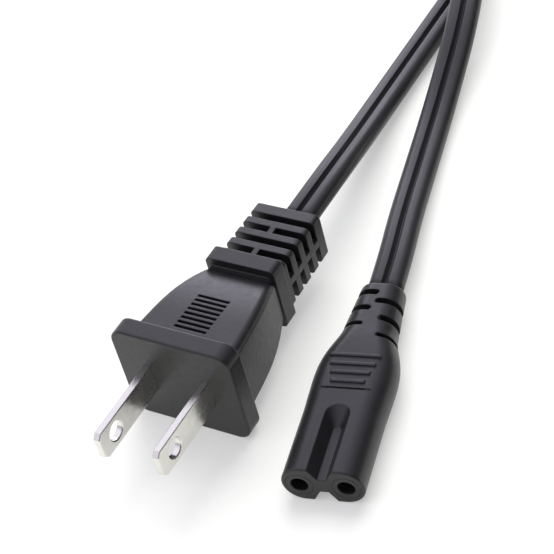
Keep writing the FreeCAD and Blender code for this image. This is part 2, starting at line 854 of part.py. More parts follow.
def blade(name, side):
    """A flat blade with a hole near its tip, and the strap and crimp behind it."""
    body = new_body(f"blade_{name}", at_plug)
    place = cell.blade_half_spacing * side
    half = cell.blade_height / 2
    strap_end = cell.barrel_start + cell.strap_overlap
    form = elevation(body, "form", place)
    outline(form, (
        (-cell.blade_length, half - cell.blade_tip),
        (cell.blade_tip - cell.blade_length, half),
        (cell.blade_root, half),
        (cell.blade_root, cell.strap_half_height),
        (strap_end, cell.strap_half_height),
        (strap_end, -cell.strap_half_height),
        (cell.blade_root, -cell.strap_half_height),
        (cell.blade_root, -half),
        (cell.blade_tip - cell.blade_length, -half),
        (-cell.blade_length, cell.blade_tip - half),
    ))
    extruded(body, "Pad", form, cell.blade_thickness, both_ways=True)
    edge_feature(body, "Fillet", "edges", cell.blade_edge, lambda edge: on_broad_face(edge, place))
    hole = elevation(body, "hole", place)
    circle(hole, -cell.blade_hole_place, 0, cell.blade_hole_radius)
    cut(body, hole, cell.blade_thickness * 2, both_ways=True)
    edge_feature(body, "Chamfer", "rim", cell.blade_hole_rim, is_hole_edge)
    barrel = across(body, "barrel", cell.barrel_start)
    circle(barrel, place, 0, cell.barrel_radius)
    pad_rearward(body, barrel, cell.barrel_length)
    bore = across(body, "bore", barrel_end())
    circle(bore, place, 0, cell.strand_radius)
    cut(body, bore, cell.barrel_bore, backwards=True)
    return body


def insert_blank():
    """The plug's insert before the blades' openings."""
    body = new_body("insert_blank", at_plug)
    form = across(body, "form", cell.insert_start)
    rounded_rectangle(form, cell.blade_half_spacing + cell.insert_side, cell.blade_height / 2 + cell.insert_top,
                      cell.insert_corner)
    pad_rearward(body, form, cell.insert_end - cell.insert_start)
    return body


def flange_and_body(body):
    """The flange, and the body lofted back from it, which narrows and thins in two smooth curves."""
    flange = across(body, "flange")
    rounded_rectangle(flange, cell.flange_half_width, cell.flange_half_height, cell.flange_corner)
    pad_rearward(body, flange, cell.flange_thickness)
    edge_feature(body, "Fillet", "flange_front", cell.flange_edge, lies_at(0))
    edge_feature(body, "Fillet", "flange_rear", cell.flange_edge, lies_at(cell.flange_thickness))
    width_lost = cell.body_front_half_width - cell.body_rear_half_width
    height_lost = cell.body_front_half_height - cell.body_rear_half_height
    drawn = []
    for name, along, width_share, height_share in (
        ("body_front", 0.0, 0.0, 0.0),
        ("body_grip", 0.28, 0.15, 0.09),
        ("body_middle", 0.59, 0.39, 0.26),
        ("body_slope", 0.82, 0.69, 0.58),
        ("body_rear", 1.0, 1.0, 1.0),
    ):
        section = across(body, name, cell.flange_thickness + cell.body_length * along)
        rounded_rectangle(section, cell.body_front_half_width - width_lost * width_share,
                          cell.body_front_half_height - height_lost * height_share, cell.body_corner)
        drawn.append(section)
    loft(body, drawn)


def plug_grips(body):
    """Cuts a row of short slots across the top and the underside of the plug's body."""
    for name, side in (("top", 1), ("low", -1)):
        sketch = plan(body, f"grip_{name}")
        tilt = FreeCAD.Rotation(X_AXIS, -cell.plug_grip_slope.value * side)
        sketch.AttachmentOffset = FreeCAD.Placement(FreeCAD.Vector(0, 0, 0), tilt)
        sketch.setExpression("AttachmentOffset.Base.y", cell.plug_grip_first.text)
        floor = cell.body_front_half_height - cell.plug_grip_depth
        sketch.setExpression("AttachmentOffset.Base.z", (floor * side).text)
        half = cell.plug_grip_width / 2
        rectangle(sketch, -cell.plug_grip_half_length, cell.plug_grip_half_length, -half, half)
        first = cut(body, sketch, cell.body_front_half_height, backwards=side > 0)
        repeat(body, first, sketch, "V_Axis", cell.plug_grip_pitch, PLUG_GRIP_SLOTS)


def collar(body):
    """The block behind the body, with its low ledge in front."""
    ledge = across(body, "ledge", body_end() - cell.ledge_length)
    rounded_rectangle(ledge, cell.collar_half_width - cell.collar_edge / 2,
                      cell.collar_half_height - cell.ledge_drop, cell.collar_edge)
    pad_rearward(body, ledge, cell.ledge_length + cell.collar_length / 2)
    block = across(body, "collar", body_end())
    rounded_rectangle(block, cell.collar_half_width, cell.collar_half_height, cell.collar_edge)
    pad_rearward(body, block, cell.collar_length)
    edge_feature(body, "Chamfer", "collar_rear", cell.collar_edge / 3, lies_at(collar_end()))


def relief_half_height(place):
    """Half the height of the strain relief, which tapers, at this distance behind the collar."""
    lost = cell.relief_front_half_height - cell.relief_rear_half_height
    return cell.relief_front_half_height - lost * place / cell.relief_length


def strain_relief(body):
    """Ribs behind the collar, parted by slots that leave a rail down each side, webs and a spine for the wires."""
    start = collar_end()
    front = across(body, "relief_front", start)
    rounded_rectangle(front, cell.relief_half_width, cell.relief_front_half_height, cell.relief_corner)
    rear = across(body, "relief_rear", plug_length())
    rounded_rectangle(rear, cell.relief_half_width, cell.relief_rear_half_height, cell.relief_corner)
    loft(body, (front, rear), ruled=True)
    edge_feature(body, "Chamfer", "relief_edge", cell.relief_corner / 2, lies_at(plug_length()))
    beyond = cell.relief_half_width * 2
    for name, side in (("top", 1), ("low", -1)):
        sketch = across(body, f"gap_{name}", start + cell.gap_first)
        low, high = sorted((cell.gap_rail_half_height * side, cell.relief_front_half_height * 2 * side),
                           key=lambda item: item.value)
        rectangle(sketch, -beyond, beyond, low, high)
        first = cut_rearward(body, sketch, cell.gap_width)
        repeat(body, first, sketch, "N_Axis", cell.gap_pitch, RELIEF_GAPS, backwards=True)
    spine(body, start, plug_length(), "relief_spine")
    for number in WEBBED_GAPS:
        place = cell.gap_first + cell.gap_pitch * number
        sketch = across(body, f"web_{number + 1}", start + place)
        height = relief_half_height(place + cell.gap_width)
        rectangle(sketch, -cell.web_half_width, cell.web_half_width, -height, height)
        pad_rearward(body, sketch, cell.gap_width)


def plug_moulding():
    """The plug's outer form, still solid."""
    body = new_body("plug_moulding", at_plug)
    flange_and_body(body)
    plug_grips(body)
    collar(body)
    strain_relief(body)
    return body


def plug():
    """Every piece of the plug."""
    spaces, nodes, blades = [], [], []
    for name, side in SIDES:
        strands, wire_space, wire = plug_wiring(name, side)
        metal = blade(name, side)
        blades.append(metal)
        spaces += [strands, wire_space, metal]
        nodes += [metal, strands, wire]
    blank = insert_blank()
    core = hollowed("plug_core", blank, fused("blades", blades))
    inside = fused("plug_inside", [blank] + spaces)
    shell = hollowed("plug_shell", plug_moulding(), inside)
    return [shell, core] + nodes


# Cord

def rounded_path(points):
    """Straight runs through the points, joined by arcs that are as large as the runs allow, and the arcs' radii."""
    edges, radii = [], []
    start = points[0]
    for before, corner, after in zip(points, points[1:], points[2:]):
        arriving, leaving = (corner - before), (after - corner)
        half_turn = arriving.getAngle(leaving) / 2
        reach = ARC_SHARE * min(arriving.Length, leaving.Length)
        arriving.normalize()
        leaving.normalize()
        inward = leaving - arriving
        inward.normalize()
        radius = reach / math.tan(half_turn)
        middle = corner + inward * (radius / math.cos(half_turn) - radius)
        first, last = corner - arriving * reach, corner + leaving * reach
        edges.append(Part.LineSegment(start, first).toShape())
        edges.append(Part.Arc(first, middle, last).toShape())
        radii.append(radius)
        start = last
    edges.append(Part.LineSegment(start, points[-1]).toShape())
    return Part.Wire(edges), radii


def cord_section(centre, forward):
    """The flat cord's outline across its line, lying flat."""
    radius = cell.cord_thickness.value / 2
    across_way = forward.cross(Z_AXIS)
    across_way.normalize()
    up = across_way.cross(forward)
    up.normalize()
    reach = across_way * (cell.cord_width.value / 2 - radius)
    bulge = across_way * (cell.cord_width.value / 2)
    rise = up * radius
    return Part.Wire([
        Part.LineSegment(centre - reach + rise, centre + reach + rise).toShape(),
        Part.Arc(centre + reach + rise, centre + bulge, centre + reach - rise).toShape(),
        Part.LineSegment(centre + reach - rise, centre - reach - rise).toShape(),
        Part.Arc(centre - reach - rise, centre - bulge, centre - reach + rise).toShape(),
    ])


def cord(label, points):
    """One free stretch of the cord."""
    path, radii = rounded_path(points)
    section = Part.Face(cord_section(points[0], points[1] - points[0]))
    solid = path.makePipe(section)
    share = solid.Volume / (section.Area * path.Length)
    if abs(share - 1) > 0.01:
        raise RuntimeError(f"{label} has {share:.3f} of its volume")
    item = doc.addObject("Part::Feature", label)
    item.Shape = solid
    item.Placement = FreeCAD.Placement()
    print(f"{label}: {path.Length:.1f} mm long, bends of", ", ".join(f"{radius:.0f}" for radius in radii), "mm")
    return item


def cord_points(start, forward, lead, chosen, end):
    """The route's points: a straight lead out of a moulding, the chosen points, and a straight lead into the hank."""
    leading_in = end - FreeCAD.Vector(0, cell.hank_lead.value, 0)
    return [start, start + forward * lead.value] + [FreeCAD.Vector(*point) for point in chosen] + [leading_in, end]


def cord_stretches():
    """The two free stretches, from the connector and from the plug to the two ends of the hank."""
    straight = FreeCAD.Vector(0, 1, 0)
    connector_exit = straight * (connector_length().value / 2) + Z_AXIS * cell.nose_half_height.value
    turned = FreeCAD.Rotation(Z_AXIS, cell.plug_turn.value).multVec(straight)
    plug_front = FreeCAD.Vector(cell.plug_place_x.value, cell.plug_place_y.value, cell.flange_half_height.value)
    plug_exit = plug_front + turned * plug_length().value
    half_layer = cell.cord_thickness.value / 2
    low = cell.tie_thickness.value + half_layer
    high = cell.tie_thickness.value + hank_height().value - half_layer
    middle, reach, near = cell.hank_place_x.value, cell.hank_turn.value, cell.hank_near.value
    hank_left = FreeCAD.Vector(middle - reach, near, high)
    hank_right = FreeCAD.Vector(middle + reach, near, low)
    return [
        cord("cord_from_connector",
             cord_points(connector_exit, straight, cell.connector_lead, FROM_CONNECTOR, hank_left)),
        cord("cord_to_plug", cord_points(plug_exit, turned, cell.plug_lead, FROM_PLUG, hank_right)),
    ]


def hank():
    """The outer form of the wound part: two straight sides and two round ends, the near one free of its outer layers."""
    body = new_body("cord_hank", at_hank)
    half_cord = cell.cord_width / 2
    outer, inner = cell.hank_turn + half_cord, cell.hank_turn - half_cord
    ring = plan(body, "ring", turned=90)
    stadium(ring, cell.hank_run / 2 + outer, outer)
    stadium(ring, cell.hank_run / 2 + inner, inner)
    pad_upward(body, ring, hank_height())
    free = cell.cord_thickness + cell.hank_clearance
    for name, height in (("top", hank_height()), ("low", size(0))):
        sketch = plan(body, f"near_end_{name}", height)
        rectangle(sketch, -outer * 2, outer * 2, -cell.hank_run - outer * 2, -cell.hank_run / 2)
        cut(body, sketch, free, backwards=name == "low")
    return body


def tie(name, side):
    """A flat band round one side of the hank."""
    body = new_body(f"hank_tie_{name}", at_hank)
    half_cord = cell.cord_width / 2
    middle = cell.hank_turn * side
    sketch = across(body, "band", -cell.tie_width / 2)
    rectangle(sketch, middle - half_cord, middle + half_cord, 0, hank_height())
    reach = half_cord + cell.tie_thickness
    rectangle(sketch, middle - reach, middle + reach, -cell.tie_thickness, hank_height() + cell.tie_thickness)
    pad_rearward(body, sketch, cell.tie_width)
    return body


def check(items):
    """Stops if an object failed to build or a piece isn't one valid solid."""
    for item in doc.Objects:
        if "Invalid" in item.State or "Error" in item.State:
            raise RuntimeError(f"{item.Label} failed: {item.State}")
    for item in items:
        shape = item.Shape
        if shape.isNull() or not shape.isValid() or len(shape.Solids) != 1:
            raise RuntimeError(f"{item.Label} isn't one valid solid")


nodes = connector() + plug() + cord_stretches() + [hank()] + [tie(name, side) for name, side in SIDES]
doc.recompute()
check(nodes)
os.makedirs("parts", exist_ok=True)
for node in nodes:
    node.Shape.exportStep(f"parts/{node.Label}.step")
    print(f"{node.Label}: {node.Shape.Volume:.1f} mm3")
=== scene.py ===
"""The looks of a figure-eight mains lead: soft PVC mouldings, plated blades, flat twin cord and a tied hank.

Metres, in the frame of the construction: the origin lies on the floor under the middle of the connector,
+Y runs from its mating face to its cord, and +Z is up.
"""
import math

import bmesh
import bpy
from mathutils import Matrix, Vector


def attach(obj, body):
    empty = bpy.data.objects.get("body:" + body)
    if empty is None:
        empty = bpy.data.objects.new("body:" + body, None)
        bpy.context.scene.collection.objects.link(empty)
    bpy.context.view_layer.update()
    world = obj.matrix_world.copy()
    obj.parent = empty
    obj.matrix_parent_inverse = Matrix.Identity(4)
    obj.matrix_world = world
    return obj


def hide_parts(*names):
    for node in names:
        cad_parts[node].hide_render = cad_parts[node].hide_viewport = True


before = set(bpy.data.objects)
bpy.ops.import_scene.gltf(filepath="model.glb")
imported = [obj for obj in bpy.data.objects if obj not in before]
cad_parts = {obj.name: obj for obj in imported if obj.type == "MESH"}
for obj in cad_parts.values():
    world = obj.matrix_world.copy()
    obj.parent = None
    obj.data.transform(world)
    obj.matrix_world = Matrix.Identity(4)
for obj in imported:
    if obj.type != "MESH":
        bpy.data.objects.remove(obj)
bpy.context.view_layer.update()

# Sizes of the flat twin cord
CORD_WIDTH = 0.0070
CORD_THICKNESS = 0.0036
GROOVE_WIDTH = 0.00115
GROOVE_FLOOR_WIDTH = 0.0003
GROOVE_DEPTH = 0.0011
GROOVE_LIP = 0.00015

# The connector's fine lines: its pins' axes, the seam round each opening and the line cut across its hood
PIN_OFFSET = 0.0043
PIN_HEIGHT = 0.00404
SEAM_RADIUS = 0.00255
SEAM_HALF_WIDTH = 0.00012
SEAM_BACK = -0.0236
LINE_PLACE = -0.00425
LINE_HALF_LENGTH = 0.00465
LINE_HALF_WIDTH = 0.00028
LINES_DEPTH = 0.00018

# The cord's route: where it leaves the connector, the points that it passes, and the same from the plug
CONNECTOR_EXIT = Vector((0.0, 0.02375, PIN_HEIGHT))
CONNECTOR_LEAD = 0.009
FROM_CONNECTOR = (
    (-0.00095, 0.0455, 0.00325),
    (-0.0015, 0.0620, 0.00215),
    (-0.00165, 0.0840, 0.0023),
    (-0.0004, 0.10725, 0.0079),
    (-0.0035, 0.13325, 0.0094),
    (-0.0205, 0.15825, 0.0138),
    (-0.0342, 0.1755, 0.0172),
)
PLUG_FRONT = Vector((-0.03005, -0.00849, 0.01075))
PLUG_TURN = math.radians(-13.5)
PLUG_LENGTH = 0.0441
PLUG_LEAD = 0.0157
FROM_PLUG = (
    (-0.01525, 0.0650, 0.0066),
    (-0.0136, 0.0860, 0.0023),
    (-0.0040, 0.12925, 0.00185),
    (0.0039, 0.15925, 0.00185),
)

# The ties: a strap round each side of the hank, lapped over its own start, with a pile of standing loops
TIE_THICKNESS = 0.0008
TIE_WIDTH = 0.0060
TIE_CORNER = 0.00012
LAP_START = 0.0060
LAP_END = 0.0140
LAP_LIFT = TIE_THICKNESS * 1.05
PILE_DENSITY = 4.0e6
PILE_LOOP_RADIUS = 0.00016
PILE_THREAD_RADIUS = 0.00003
PILE_LEAN = 0.4
PILE_SEED = 3

# The hank: flat layers of cord wound round two straight sides, tied at both
HANK_PLACE = -0.0150
HANK_NEAR = 0.20425
HANK_RUN = 0.0520
HANK_TURN = 0.0240
HANK_LAYERS = 5
HANK_LEAD = 0.01375
LOOP_STEPS = 8
RUN_STEPS = 4
FLOOR_OF_HANK = TIE_THICKNESS + CORD_THICKNESS / 2

# The camera: a long lens above and to the right of the connector
CAMERA_PLACE = Vector((0.1010, -0.2207, 0.2554))
CAMERA_FORWARD = Vector((-0.3306, 0.6624, -0.6723))
CAMERA_UP = Vector((-0.0412, 0.7016, 0.7114))
CAMERA_LENS = 124.09
CAMERA_SENSOR = 36.0

# The light: the dome's brightest direction, its strengths and its colour, and the two soft boxes behind
WHITE = (1.0, 1.0, 1.0, 1.0)
DOME_TOP = (-0.5, 0.1, 0.86)
DOME_FULL = 0.95
DOME_LOW = 0.08
DOME_HIGH = 1.1
DOME_COLOUR = (1.0, 0.965, 1.13, 1.0)
LAMP_TARGET = (-0.01, 0.03, 0.0)
BACK_PLACE = (-0.10, 0.95, 1.10)
BACK_SIZE = 1.2
BACK_WATTS = 16.0
SHEEN_PLACE = (-0.45, 1.2, 0.52)
SHEEN_SIZE = 0.6
SHEEN_WATTS = 3.8
SHEEN_COLOUR = (0.90, 0.87, 1.0)

# The floor: its half width and colour, and the glow that the camera and reflections see as a share of it
FLOOR_REACH = 3.0
FLOOR_COLOUR = (0.93, 0.96, 0.85, 1.0)
FLOOR_GLOW = 1.2
GLOW_SHARE = 0.32


# Materials

class Value:
    """The output of a node, on which an expression adds the Math nodes that work it out."""

    def __init__(self, finish, socket):
        self.finish = finish
        self.socket = socket

    def worked_out(self, operation, first, second=None):
        """What a Math node makes of one value or two."""
        inputs = [first] if second is None else [first, second]
        return self.finish.node("ShaderNodeMath", {"operation": operation}, inputs)

    def __add__(self, other):
        return self.worked_out("ADD", self, other)

    def __radd__(self, other):
        return self.worked_out("ADD", other, self)

    def __sub__(self, other):
        return self.worked_out("SUBTRACT", self, other)

    def __rsub__(self, other):
        return self.worked_out("SUBTRACT", other, self)

    def __mul__(self, other):
        return self.worked_out("MULTIPLY", self, other)

    def __rmul__(self, other):
        return self.worked_out("MULTIPLY", other, self)

    def __lt__(self, other):
        return self.worked_out("LESS_THAN", self, other)

    def __gt__(self, other):
        return self.worked_out("GREATER_THAN", self, other)

    def __abs__(self):
        return self.worked_out("ABSOLUTE", self)

    def high(self, other):
        return self.worked_out("MAXIMUM", self, other)

    def wave(self):
        return self.worked_out("SINE", self)

    def root(self):
        return self.worked_out("SQRT", self)


class Finish:
    """A material with one Principled shader, whose nodes are added by name."""

    def __init__(self, name, **uniform):
        self.material = bpy.data.materials.new(name)
        self.material.use_nodes = True
        self.tree = self.material.node_tree
        self.shader = self.tree.nodes["Principled BSDF"]
        for socket, value in uniform.items():
            self.shader.inputs[socket.replace("_", " ")].default_value = value

    def put(self, value, socket):
        """Sets a socket to a value or links it to a node's output."""
        if isinstance(value, Value):
            self.tree.links.new(value.socket, socket)
        else:
            socket.default_value = value

    def node(self, kind, settings=None, inputs=None, output=0):
        """Adds a node with its settings, and its inputs by place or by name."""
        made = self.tree.nodes.new(kind)
        for name, value in (settings or {}).items():
            setattr(made, name, value)
        given = inputs or {}
        pairs = given.items() if isinstance(given, dict) else enumerate(given)
        for key, value in pairs:
            self.put(value, made.inputs[key])
        return Value(self, made.outputs[output])

    def drive(self, socket, value):
        """Lets a value set one of the shader's sockets."""
        self.put(value, self.shader.inputs[socket])

    def place(self, scale=1.0):
        """The point on the object, scaled along each axis."""
        point = self.node("ShaderNodeTexCoord", output="Object")
        size = (scale, scale, scale) if isinstance(scale, (int, float)) else scale
        return self.node("ShaderNodeVectorMath", {"operation": "MULTIPLY"}, [point, size])

    def axes(self, vector):
        """The three parts of a vector."""
        first = self.node("ShaderNodeSeparateXYZ", inputs=[vector])
        outputs = first.socket.node.outputs
        return [Value(self, outputs[number]) for number in range(3)]

    def along_cord(self):
        """How far along the cord, and how far round it, from the piece's own map."""
        return self.node("ShaderNodeUVMap", {"uv_map": "along_and_round"})

    def noise(self, vector, scale, detail=2.0, roughness=0.5):
        """Uneven patches, from 0 to 1."""
        return self.node("ShaderNodeTexNoise", inputs={
            "Vector": vector, "Scale": scale, "Detail": detail, "Roughness": roughness})

    def between(self, value, low, high, start=0.0, end=1.0):
        """Spreads a value from one range to another, clamped."""
        return self.node("ShaderNodeMapRange", inputs=[value, low, high, start, end])

    def mixed(self, share, first, second):
        """A colour between two others, by the Mix node's sockets for colours."""
        return self.node("ShaderNodeMix", {"data_type": "RGBA"}, {0: share, 6: first, 7: second}, output=2)

    def rounded_edge(self, radius):
        """The surface's direction with its sharp edges softened."""
        return self.node("ShaderNodeBevel", {"samples": 6}, {"Radius": radius})

    def bump(self, height, distance, over=None):
        """The surface's direction, roughened by a height from 0 to 1 that stands for this distance."""
        inputs = {"Height": height, "Distance": distance, "Strength": 1.0}
        if over is not None:
            inputs["Normal"] = over
        return self.node("ShaderNodeBump", inputs=inputs)


def grey(level, tint=0.0):
    """A near-neutral colour, a little bluer with more tint."""
    return (level, level * (1 + tint / 3), level * (1 + tint), 1.0)


def charcoal(finish, patches):
    """The PVC's colour, which differs a little from patch to patch."""
    return finish.mixed(patches, grey(0.011, 0.05), grey(0.017, 0.04))


def pin_seams(finish, point):
    """The fine seam round each pin's opening in the face: 1 in its middle, 0 beside it."""
    across, along, up = finish.axes(point)
    aside, above = abs(across) - PIN_OFFSET, up - PIN_HEIGHT
    reach = (aside * aside + above * above).root()
    return (1 - finish.between(abs(reach - SEAM_RADIUS), 0.0, SEAM_HALF_WIDTH)) * (along < SEAM_BACK)


def engraved_line(finish, point):
    """The line across the hood, whose ends run down onto its round sides: 1 in its middle, 0 beside it."""
    across, along, up = finish.axes(point)
    beside = finish.between(abs(along - LINE_PLACE), 0.0, LINE_HALF_WIDTH)
    return (1 - beside) * (abs(across) < LINE_HALF_LENGTH) * (up > PIN_HEIGHT)


def soft_pvc(name, marked=False):
    """Moulded soft PVC: satin, mottled, with a fine eroded grain, and, if marked, the connector's lines,
    bumped in and darkened with painted shade.
    """
    finish = Finish(name, Roughness=0.35, IOR=1.47)
    point = finish.place()
    patches = finish.noise(point, 160.0, 3.0)
    mottle = finish.noise(point, 900.0, 3.0, 0.6)
    grain = finish.noise(point, 5200.0, 2.0, 0.6)
    colour = charcoal(finish, patches)
    finish.drive("Roughness", finish.between(mottle * 0.7 + grain * 0.3, 0.3, 0.7, 0.29, 0.42))
    worn = finish.bump(mottle, 0.00003, finish.rounded_edge(0.0003))
    if marked:
        engraved = engraved_line(finish, point)
        lines = pin_seams(finish, point).high(engraved)
        # Painted shade: the seams and the line are darkened almost to black in the base colour, standing in
        # for the shade inside the narrow cuts
        colour = finish.mixed(lines, colour, grey(0.003))
        worn = finish.bump(1 - lines, LINES_DEPTH, worn)
        # Painted shade: the engraved line is made black metal so that it returns no reflection, standing in
        # for the shade at the bottom of so narrow a cut
        finish.drive("Metallic", engraved)
    finish.drive("Base Color", colour)
    finish.drive("Normal", finish.bump(grain, 0.000012, worn))
    return finish.material


def cord_pvc():
    """The cord's drawn jacket: the same PVC with fine streaks along it."""
    finish = Finish("cord_pvc", Roughness=0.38, IOR=1.47)
    mapped = finish.along_cord()
    streaked = finish.node("ShaderNodeVectorMath", {"operation": "MULTIPLY"}, [mapped, (14.0, 5200.0, 1.0)])
    streaks = finish.noise(streaked, 1.0, 3.0, 0.6)
    point = finish.place()
    patches = finish.noise(point, 90.0, 2.0)
    grain = finish.noise(point, 4200.0, 2.0, 0.6)
    finish.drive("Base Color", charcoal(finish, patches))
    finish.drive("Roughness", finish.between(streaks, 0.3, 0.7, 0.32, 0.44))
    rough = finish.bump(grain, 0.00001)
    finish.drive("Normal", finish.bump(streaks, 0.00003, rough))
    return finish.material


def nickel():
    """Polished nickel plate with fine lines along the blade and a few dull spots."""
    finish = Finish("nickel", Metallic=1.0, Roughness=0.2)
    lines = finish.noise(finish.place((9000.0, 500.0, 9000.0)), 1.0, 2.0)
    clouds = finish.noise(finish.place(), 420.0, 3.0)
    finish.drive("Base Color", finish.mixed(clouds, (0.82, 0.81, 0.76, 1.0), (0.72, 0.71, 0.66, 1.0)))
    finish.drive("Roughness", finish.between(clouds * 0.6 + lines * 0.4, 0.3, 0.7, 0.14, 0.30))
    edge = finish.rounded_edge(0.00018)
    finish.drive("Normal", finish.bump(lines, 0.000004, edge))
    return finish.material


def brass():
    """The contact sleeves: drawn brass with duller clouds."""
    finish = Finish("brass", Metallic=1.0, Roughness=0.3)
    clouds = finish.noise(finish.place(), 900.0, 3.0)
    finish.drive("Base Color", finish.mixed(clouds, (0.72, 0.52, 0.22, 1.0), (0.56, 0.38, 0.15, 1.0)))
    finish.drive("Roughness", finish.between(clouds, 0.3, 0.7, 0.22, 0.42))
    return finish.material


def copper():
    """Bare copper strands: bright and dark lines along the bundle."""
    finish = Finish("copper", Metallic=1.0, Roughness=0.35)
    lines = finish.noise(finish.place((8000.0, 300.0, 8000.0)), 1.0, 1.0)
    finish.drive("Base Color", finish.mixed(lines, (0.80, 0.36, 0.20, 1.0), (0.52, 0.20, 0.10, 1.0)))
    finish.drive("Normal", finish.bump(lines, 0.00005))
    return finish.material


def hard_plastic():
    """The inserts: hard black plastic, a little glossier than the moulding round it."""
    finish = Finish("hard_plastic", Roughness=0.35, IOR=1.5)
    clouds = finish.noise(finish.place(), 700.0, 2.0)
    finish.drive("Base Color", finish.mixed(clouds, grey(0.014), grey(0.020)))
    finish.drive("Roughness", finish.between(clouds, 0.3, 0.7, 0.30, 0.42))
    return finish.material


def insulation():
    """The wires' jackets: dark grey, faintly uneven along the wire."""
    finish = Finish("insulation", Roughness=0.4, IOR=1.5)
    clouds = finish.noise(finish.place((2500.0, 300.0, 2500.0)), 1.0, 2.0)
    finish.drive("Base Color", finish.mixed(clouds, grey(0.030), grey(0.040)))
    finish.drive("Normal", finish.bump(clouds, 0.00003))
    return finish.material


def woven_strap():
    """The ties: a woven strap, threads over and under at a third of a millimetre."""
    finish = Finish("woven_strap", Roughness=0.75, IOR=1.45)
    across, along, up = finish.axes(finish.place(math.tau / 0.0007))
    threads = abs((across + up).wave() * along.wave())
    finish.drive("Base Color", finish.mixed(threads, grey(0.010), grey(0.030)))
    finish.drive("Roughness", finish.between(threads, 0.0, 1.0, 0.85, 0.65))
    finish.drive("Normal", finish.bump(threads, 0.00008))
    return finish.material


def dress(name, material):
    """Gives a node of the construction its material."""
    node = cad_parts[name]
    node.data.materials.clear()
    node.data.materials.append(material)


# The cord

def hank_side(side, layer):
    """Where a layer of the hank lies on its right side, 1, or its left, -1."""
    return HANK_PLACE + HANK_TURN * side, FLOOR_OF_HANK + CORD_THICKNESS * layer


def hank_run(side, layer, way):
    """The points along one straight side of a layer, rearward for way 1 and forward for -1."""
    x, z = hank_side(side, layer)
    middle = HANK_NEAR + HANK_RUN / 2
    step = HANK_RUN / RUN_STEPS
    offsets = [number - (RUN_STEPS - 1) / 2 for number in range(RUN_STEPS)]
    return [Vector((x, middle + way * step * offset, z)) for offset in offsets]


def hank_loop(side, layer, way, climb):
    """The points round one end of a layer, from this side to the other, rising by climb layers."""
    turn = math.pi / LOOP_STEPS
    reach = HANK_TURN / math.cos(turn / 2)
    middle_y = HANK_NEAR + (HANK_RUN if way > 0 else 0.0)
    start_z = hank_side(side, layer)[1]
    points = []
    for number in range(LOOP_STEPS):
        angle = turn * (number + 0.5)
        points.append(Vector((
            HANK_PLACE + side * reach * math.cos(angle),
            middle_y + way * reach * math.sin(angle),
            start_z + CORD_THICKNESS * climb * (number + 0.5) / LOOP_STEPS,
        )))
    return points


def hank_points():
    """The wound cord from the connector's end, at the top of the left side, down to the plug's end."""
    points = []
    for layer in reversed(range(HANK_LAYERS)):
        points += hank_run(-1, layer, 1)
        points += hank_loop(-1, layer, 1, 0)
        points += hank_run(1, layer, -1)
        if layer > 0:
            points += hank_loop(1, layer, -1, -1)
    return points


def cord_route():
    """Every point of the cord's route from the connector to the plug."""
    rearward = Vector((0.0, 1.0, 0.0))
    x, z = hank_side(-1, HANK_LAYERS - 1)
    points = [CONNECTOR_EXIT, CONNECTOR_EXIT + rearward * CONNECTOR_LEAD]
    points += [Vector(point) for point in FROM_CONNECTOR]
    points.append(Vector((x, HANK_NEAR - HANK_LEAD, z)))
    points += hank_points()
    x, z = hank_side(1, 0)
    points.append(Vector((x, HANK_NEAR - HANK_LEAD, z)))
    points += [Vector(point) for point in reversed(FROM_PLUG)]
    turned = Matrix.Rotation(PLUG_TURN, 3, "Z") @ rearward
    plug_exit = PLUG_FRONT + turned * PLUG_LENGTH
    return points + [plug_exit + turned * PLUG_LEAD, plug_exit]


def smooth_line(points):
    """The points of the smooth spline that the route's points control."""
    curve = bpy.data.curves.new("cord_line", "CURVE")
    curve.dimensions = "3D"
    curve.resolution_u = 8
    spline = curve.splines.new("NURBS")
    spline.points.add(len(points) - 1)
    for point, place in zip(spline.points, points):
        point.co = (*place, 1.0)
    spline.order_u = 3
    spline.use_endpoint_u = True
    holder = bpy.data.objects.new("cord_line", curve)
    bpy.context.scene.collection.objects.link(holder)
    mesh = bpy.data.meshes.new_from_object(holder.evaluated_get(bpy.context.evaluated_depsgraph_get()))
    line = [vertex.co.copy() for vertex in mesh.vertices]
    bpy.data.objects.remove(holder)
    bpy.data.curves.remove(curve)
    bpy.data.meshes.remove(mesh)
    return line


def arc_points(centre, radius, start, end, steps):
    """Points of an arc in the cord's section, both ends included, with the angles in degrees."""
    points = []
    for number in range(steps + 1):
        angle = math.radians(start + (end - start) * number / steps)
        points.append((centre[0] + radius * math.cos(angle), centre[1] + radius * math.sin(angle)))
    return points


def cord_outline():
    """The cord's outline: two flat-topped lobes with round sides, and a groove between them on each face."""
    half_width, half_height = CORD_WIDTH / 2, CORD_THICKNESS / 2
    quarter = arc_points((half_width - half_height, 0.0), half_height, 0, 90, 8)
    quarter += arc_points((GROOVE_WIDTH / 2 + GROOVE_LIP, half_height - GROOVE_LIP), GROOVE_LIP, 90, 165, 3)
    quarter.append((GROOVE_FLOOR_WIDTH / 2, half_height - GROOVE_DEPTH))
    right_top = quarter
    left_top = [(-x, y) for x, y in reversed(quarter)]
    left_low = [(-x, -y) for x, y in quarter][1:]
    right_low = [(x, -y) for x, y in reversed(quarter)][:-1]
    return right_top + left_top + left_low + right_low


def tube_faces(rings, count):
    """A closed tube's faces, with count corners to a ring: its sides ring by ring, then its two caps."""
    faces = []
    for ring in range(rings - 1):
        for number in range(count):
            following = (number + 1) % count
            faces.append((ring * count + number, ring * count + following,
                          (ring + 1) * count + following, (ring + 1) * count + number))
    last = (rings - 1) * count
    return faces + [tuple(reversed(range(count))), tuple(range(last, last + count))]


def tube_map(lengths, rounds):
    """The map's corners for those faces: how far along the tube and how far round it, 0 on the caps."""
    corners = []
    for start, end in zip(lengths, lengths[1:]):
        for near, far in zip(rounds, rounds[1:]):
            corners += [(start, near), (start, far), (end, far), (end, near)]
    return corners + [(0.0, 0.0)] * (2 * (len(rounds) - 1))


